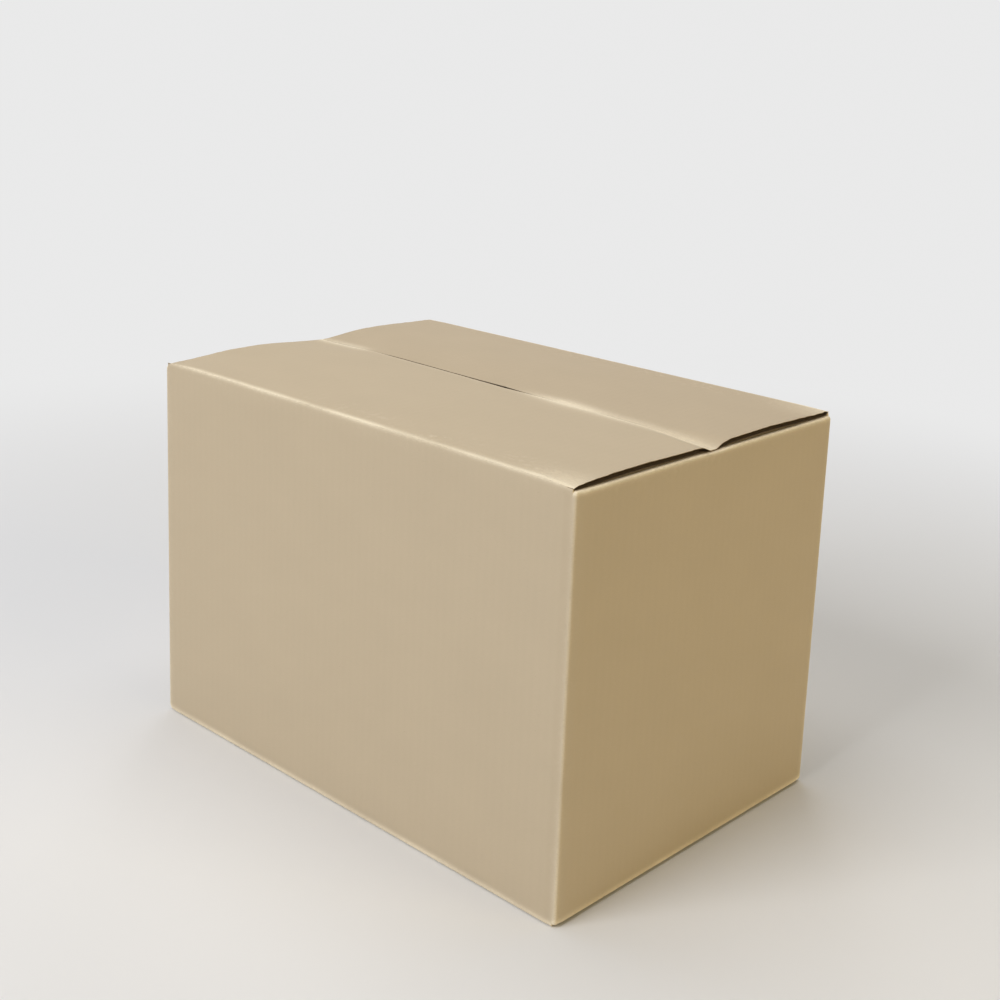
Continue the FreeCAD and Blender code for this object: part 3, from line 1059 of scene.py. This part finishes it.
    def section(self, is_long: bool) -> tuple[np.ndarray, np.ndarray]:
        """The wall's section as depths into the wall and heights, in one closed round.

        A long panel ends in a parabola to its crease and a mitre; an end panel in a quarter
        circle. Both have as many points, so that their columns join.
        """
        carton = self.carton
        board = carton.board
        radius = board.fold_radius
        turn = np.linspace(0, math.pi / 2, self.corner_steps)
        ground = 0.0 if is_long else self.end_ground
        rim = carton.fold_up - board.crease_reach if is_long else carton.end_up - radius
        low_depth = np.concatenate([[board.thickness], radius * (1 - np.sin(turn))])
        low_up = np.concatenate([[ground], ground + radius * (1 - np.cos(turn))])
        face_up = eased(ground + radius, rim, self.face_steps)[1:]
        if is_long:
            climb = np.linspace(0, 1, self.fold_steps)[1:]
            fold_depth = board.crease_depth * climb**2
            fold_up = rim + (board.crease_reach - board.crease_depth) * climb
        else:
            sweep = np.linspace(0, math.pi / 2, self.fold_steps)[1:]
            fold_depth = radius * (1 - np.cos(sweep))
            fold_up = rim + radius * np.sin(sweep)
        share = np.linspace(0, 1, self.mitre_steps)[1:]
        mitre_depth = fold_depth[-1] + (board.thickness - fold_depth[-1]) * share
        mitre_up = fold_up[-1] + (carton.end_up - fold_up[-1]) * share
        inner_up = eased(carton.end_up, ground, self.inner_steps)[1:-1]
        depth = np.concatenate([low_depth, np.zeros(len(face_up)), fold_depth, mitre_depth,
                                np.full(len(inner_up), board.thickness)])
        up = np.concatenate([low_up, face_up, fold_up, mitre_up, inner_up])
        return depth, up

    def marks(self, flat: np.ndarray, up: np.ndarray, is_long: np.ndarray,
              ground: np.ndarray, crown: np.ndarray) -> tuple[np.ndarray, np.ndarray]:
        """How far each point is paled, by rubbing and by painted highlight, and how far it is wrinkled:
        bands along every fold.

        Args:
            flat: Distances round the sleeve, from the front panel's left fold.
            up: Heights.
            is_long: Whether a column belongs to a long panel.
            ground: Heights of the panels' low ends.
            crown: Heights of the panels' top creases.

        Returns:
            The paleness from rubbing and painted highlight, and the crush, from 0 to 1.
        """
        half_x, half_y = self.carton.half_x, self.carton.half_y
        folds = np.array([half_x, half_x + 2 * half_y, 3 * half_x + 2 * half_y, 3 * half_x + 4 * half_y])
        folds = np.concatenate([folds, folds[-1:] - 4 * (half_x + half_y)])
        to_folds = np.abs(folds[None, None, :] - flat[..., None])
        to_fold = to_folds.min(-1)
        upright = np.array(self.fold_rub_and_highlight)[to_folds.argmin(-1)] * bell(to_fold, self.fold_rub)
        low_down = smooth_step((self.foot_height - up) / self.foot_height)
        upright = upright + self.foot_rub.over(to_fold) * low_down
        level = bell(crown - up, self.crown_rub_and_highlight) + self.ground_rub_and_highlight.over(up - ground - self.ground_rub_up)
        rub_and_highlight = upright + np.where(is_long, *self.level_rub_and_highlight) * level
        crush = self.fold_crush.over(to_fold) + self.crown_crush.over(crown - up)
        return np.clip(rub_and_highlight, 0, 1), np.clip(crush, 0, 1)

    def build(self) -> bpy.types.Object:
        """Builds the sleeve and seats it on the carton."""
        carton = self.carton
        board = carton.board
        path = self.path()
        sections = {is_long: self.section(is_long) for is_long in (True, False)}
        is_long = path["long_side"][:, None]
        depth = np.where(is_long, sections[True][0], sections[False][0])
        up = np.where(is_long, sections[True][1], sections[False][1])
        flat = np.broadcast_to(path["flat"][:, None], depth.shape)
        share = depth / board.thickness
        x, y = (path["outer"][:, axis][:, None] for axis in (0, 1))
        near_top = smooth_step((up - carton.end_up + self.lift_reach) / self.lift_reach)
        crease_up = carton.fold_up - board.crease_depth
        at_crease = np.clip((up - carton.end_up) / (crease_up - carton.end_up), 0, 1)
        sag = -carton.corner_sag(x, y) * at_crease
        up = up + np.where(is_long, sag, carton.end_lift(x, y) * near_top)
        ground = np.where(is_long, 0.0, self.end_ground)
        crown = np.where(is_long, carton.fold_up, carton.end_up)
        from_fold = np.minimum(up - ground, crown - up)
        free = path["free"][:, None]
        uneven = self.hollow_middle + ripple(flat, up, seed=3, waves=10, longest=0.34)
        sunk = self.hollow * uneven * (free * ramp(from_fold, *self.hollow_ramp))
        pressed = self.shoulder_depth * self.pressed_share * (1 - ramp(from_fold, *self.pressed_ramp))
        fade = smooth_step(from_fold / self.pressed_ramp[0])
        sunk = (np.maximum(sunk, 0) + pressed * free * fade) * (1 - share)
        outer = path["outer"][:, None, :]
        inner = path["inner"][:, None, :]
        plan = outer + (inner - outer) * (share + sunk / board.thickness)[..., None]
        points = np.concatenate([plan, up[..., None]], -1)

        outside = (share < self.outer_share).astype(float)
        rub_and_highlight, crush = (mark * outside for mark in self.marks(flat, up, is_long, ground, crown))
        sheet = np.stack([flat, up, depth], -1)
        skin = Skin(points.reshape(-1, 3), grid_faces(*depth.shape, closed=True), sheet.reshape(-1, 3),
                    rub_and_highlight.reshape(-1), np.zeros(depth.size), crush.reshape(-1)).outward()
        return place(skin, "panel_sleeve", Body.CARTON, self.finish, "carton_body")


@dataclass
class GlueTab:
    """The tab glued inside the back left corner, with its ends cut at a slant."""

    carton: Carton
    finish: bpy.types.Material
    width: float = 35.0 * MM
    thickness: float = 3.6 * MM
    end_gap: float = 4.0 * MM
    slant: float = 9.0 * MM
    edge_thinning: Band = Band(0.5, 0.05)
    edge_rub: Band = Band(0.4, 0.05)
    columns: int = 10
    rows: int = 30

    def build(self) -> bpy.types.Object:
        """Builds the tab as a slab whose height shrinks evenly towards its free edge."""
        carton = self.carton
        board = carton.board
        wall = -(carton.half_x - board.thickness)
        root = carton.half_y - board.thickness
        low = 2 * board.thickness + self.end_gap
        high = carton.end_up - board.thickness - self.end_gap
        shares = (eased(0, 1, self.columns), np.linspace(0, 1, self.rows))
        across, share = np.meshgrid(*shares, indexing="ij")
        y = root - across * self.width
        trim = across * self.slant
        up = low + trim + (high - low - 2 * trim) * share
        thick = self.thickness * (1 - self.edge_thinning.over(1 - across))
        grids = [np.stack([np.full_like(y, wall) + lift, y, up], -1) for lift in (thick, 0 * thick)]
        points = np.concatenate([grid.reshape(-1, 3) for grid in grids])
        sheets = [np.stack([y, up, np.full_like(y, lift)], -1) for lift in (0, 1)]
        sheet = np.concatenate([grid.reshape(-1, 3) for grid in sheets])
        none = np.zeros(len(points))
        rub_and_highlight = twice(self.edge_rub.over(1 - across))
        skin = Skin(points, slab_faces(*across.shape), sheet, rub_and_highlight, none, none).outward()
        return place(skin, "glue_tab_board", Body.CARTON, self.finish, "carton_body")


@dataclass(frozen=True)
class Lamp:
    """A soft rectangular lamp aimed at the box."""

    name: str
    at: tuple[float, float, float]
    size: float
    power: float
    colour: tuple[float, float, float]

    def build(self, target: Vector) -> None:
        """Hangs the lamp and aims it."""
        data = bpy.data.lights.new(self.name, "AREA")
        data.shape = "SQUARE"
        data.size = self.size
        data.energy = self.power
        data.color = self.colour
        lamp = bpy.data.objects.new(self.name, data)
        bpy.context.scene.collection.objects.link(lamp)
        lamp.location = self.at
        lamp.rotation_euler = (target - lamp.location).to_track_quat("-Z", "Y").to_euler()


@dataclass
class Studio:
    """The pale floor, the soft lamps, the sky and the camera."""

    floor_radius: float = 14.0
    floor_middle: float = 0.001
    floor_first_ring: float = 0.4
    floor_rings: int = 12
    floor_sides: int = 64
    floor_drop: float = 0.2 * MM
    floor_colour: tuple[float, float, float] = (0.77, 0.77, 0.77)
    floor_roughness: float = 0.95
    floor_specular: float = 0.1
    backdrop: tuple[float, float, float] = (0.82, 0.82, 0.82)
    fade: tuple[float, float] = (0.45, 1.50)
    sky_strength: float = 0.14
    lens: float = 54.263
    sensor: float = 36.0
    shift_y: float = -0.15
    camera_at: tuple[float, float, float] = (0.8346, -0.8751, 0.6141)
    azimuth: float = 43.196
    elevation: float = 12.285
    roll: float = 2.181
    lamps: tuple[Lamp, ...] = (
        Lamp("key_lamp", (-0.55, -3.35, 2.40), 2.2, 107.5, (1.0, 0.995, 1.0)),
        Lamp("overhead_lamp", (-0.35, 0.1, 2.6), 2.0, 31.0, (0.985, 0.985, 1.0)),
        Lamp("side_lamp", (2.8, 0.5, 0.9), 1.6, 26.2, (1.0, 0.78, 0.34)),
        Lamp("back_lamp", (-2.6, 2.9, 0.75), 1.2, 26.0, (1.0, 0.98, 0.97)),
    )

    def seen_directly(self, maker: NodeMaker) -> Wire:
        """1 for a ray from the camera, a reflection or a clear body, and 0 for plain light."""
        path = maker.make("ShaderNodeLightPath", {})
        camera, glossy, clear = (Wire(maker, path.outputs[f"Is {kind} Ray"])
                                 for kind in ("Camera", "Glossy", "Transmission"))
        return (camera + glossy + clear).held()

    def build_floor(self) -> None:
        """Builds the floor as a disc: rings of growing radius round the middle."""
        growing = np.geomspace(self.floor_first_ring, self.floor_radius, self.floor_rings)
        rings = np.concatenate([[self.floor_middle], growing])
        angles = np.linspace(0, TURN, self.floor_sides + 1)[:-1]
        radius, angle = np.meshgrid(rings, angles, indexing="ij")
        level = np.full_like(radius, -self.floor_drop)
        points = np.stack([radius * np.cos(angle), radius * np.sin(angle), level], -1).reshape(-1, 3)
        faces = grid_faces(len(rings), len(angles))
        seam = np.arange(len(rings) - 1) * len(angles)
        last = seam + len(angles) - 1
        closing = np.stack([last, seam, seam + len(angles), last + len(angles)], -1)
        mesh = bpy.data.meshes.new("studio_floor")
        mesh.from_pydata(points.tolist(), [], np.concatenate([faces, closing])[:, ::-1].tolist())
        floor = bpy.data.objects.new("studio_floor", mesh)
        bpy.context.scene.collection.objects.link(floor)
        mesh.materials.append(self.floor_finish())

    def floor_finish(self) -> bpy.types.Material:
        """Makes the floor plain and pale, and lets it fade into the backdrop with distance.

        The share of backdrop that the camera sees is an eased step of the distance from the box.
        """
        material = bpy.data.materials.new("studio_floor")
        material.use_nodes = True
        maker = NodeMaker(material.node_tree)
        maker.finish({"Base Color": (*self.floor_colour, 1.0), "Roughness": self.floor_roughness,
                      "Specular IOR Level": self.floor_specular})
        place_on_floor = maker.make("ShaderNodeTexCoord", {}).outputs["Object"]
        length = maker.make("ShaderNodeVectorMath", {"operation": "LENGTH"}, {0: place_on_floor})
        start, end = self.fade
        spread = maker.make("ShaderNodeMapRange", {"interpolation_type": "SMOOTHSTEP"}, {
            "Value": length.outputs["Value"], "From Min": start, "From Max": end})
        factor = Wire(maker, spread.outputs[0]) * self.seen_directly(maker)
        glow = maker.make("ShaderNodeEmission", {}, {"Color": (*self.backdrop, 1.0), "Strength": 1.0})
        mix = maker.make("ShaderNodeMixShader", {}, {
            0: factor, 1: maker.first("BSDF_PRINCIPLED").outputs[0], 2: glow.outputs[0]})
        maker.feed(maker.first("OUTPUT_MATERIAL").inputs["Surface"], mix.outputs[0])
        return material

    def build_sky(self) -> None:
        """Lights the scene evenly, and shows the camera a pale backdrop."""
        world = bpy.data.worlds.new("studio_sky")
        bpy.context.scene.world = world
        world.use_nodes = True
        maker = NodeMaker(world.node_tree)
        light = maker.first("BACKGROUND")
        maker.feed(light.inputs["Color"], (1.0, 1.0, 1.0, 1.0))
        maker.feed(light.inputs["Strength"], self.sky_strength)
        backdrop = maker.make("ShaderNodeBackground", {}, {"Color": (*self.backdrop, 1.0)})
        mix = maker.make("ShaderNodeMixShader", {}, {
            0: self.seen_directly(maker), 1: light.outputs[0], 2: backdrop.outputs[0]})
        maker.feed(maker.first("OUTPUT_WORLD").inputs["Surface"], mix.outputs[0])

    def build_camera(self) -> None:
        """Stands the camera where the photograph was taken, turned by three angles."""
        data = bpy.data.cameras.new("photo_camera")
        data.lens = self.lens
        data.sensor_width = self.sensor
        data.shift_y = self.shift_y
        camera = bpy.data.objects.new("photo_camera", data)
        bpy.context.scene.collection.objects.link(camera)
        turn = (Matrix.Rotation(math.radians(self.azimuth), 4, "Z")
                @ Matrix.Rotation(math.radians(90 - self.elevation), 4, "X")
                @ Matrix.Rotation(math.radians(self.roll), 4, "Z"))
        camera.matrix_world = Matrix.Translation(self.camera_at) @ turn
        bpy.context.scene.camera = camera

    def build(self) -> None:
        """Builds the whole studio."""
        self.build_floor()
        self.build_sky()
        self.build_camera()
        low, high = cad_box
        for lamp in self.lamps:
            lamp.build((low + high) / 2)
        bpy.context.scene.view_settings.view_transform = "Standard"


def build_carton() -> None:
    """Builds every piece of the carton in the order in which it is folded."""
    carton = Carton()
    board = carton.board
    body = Kraft("kraft_body").build()
    front = Kraft("kraft_front_flap").build()
    # The back flap's copy of the kraft is a little darker: painted shade for how the light falls on it.
    back = Kraft("kraft_back_flap", colour=(0.500, 0.407, 0.283)).build()
    Sleeve(carton, body).build()
    GlueTab(carton, body).build()
    ceiling = carton.end_up - board.thickness
    for side, word in ((Side.PLUS, "right"), (Side.MINUS, "left")):
        InnerFlap(carton, body, side, board.thickness, droop=0.0, dented=0.0,
                  name=f"{word}_inner_bottom_flap_board").build()
        InnerFlap(carton, body, side, ceiling, name=f"{word}_inner_top_flap_board").build()
    for side in (Side.MINUS, Side.PLUS):
        OuterBottomFlap(carton, body, side).build()
    OuterTopFlap(carton, front, Side.MINUS).build()
    OuterTopFlap(carton, back, Side.PLUS, bow_peaks=(0.55, 0.56),
                 bow_heights=(1.3 * MM, 2.25 * MM, 1.2 * MM),
                 end_press=(0.0, 0.3 * MM), dip_starts=(0.58, 0.93, 0.86)).build()


def main() -> None:
    """Builds the carton and the studio."""
    logging.basicConfig(level=logging.INFO, format="%(name)s: %(message)s")
    build_carton()
    Studio().build()


if __name__ == "__main__":
    main()
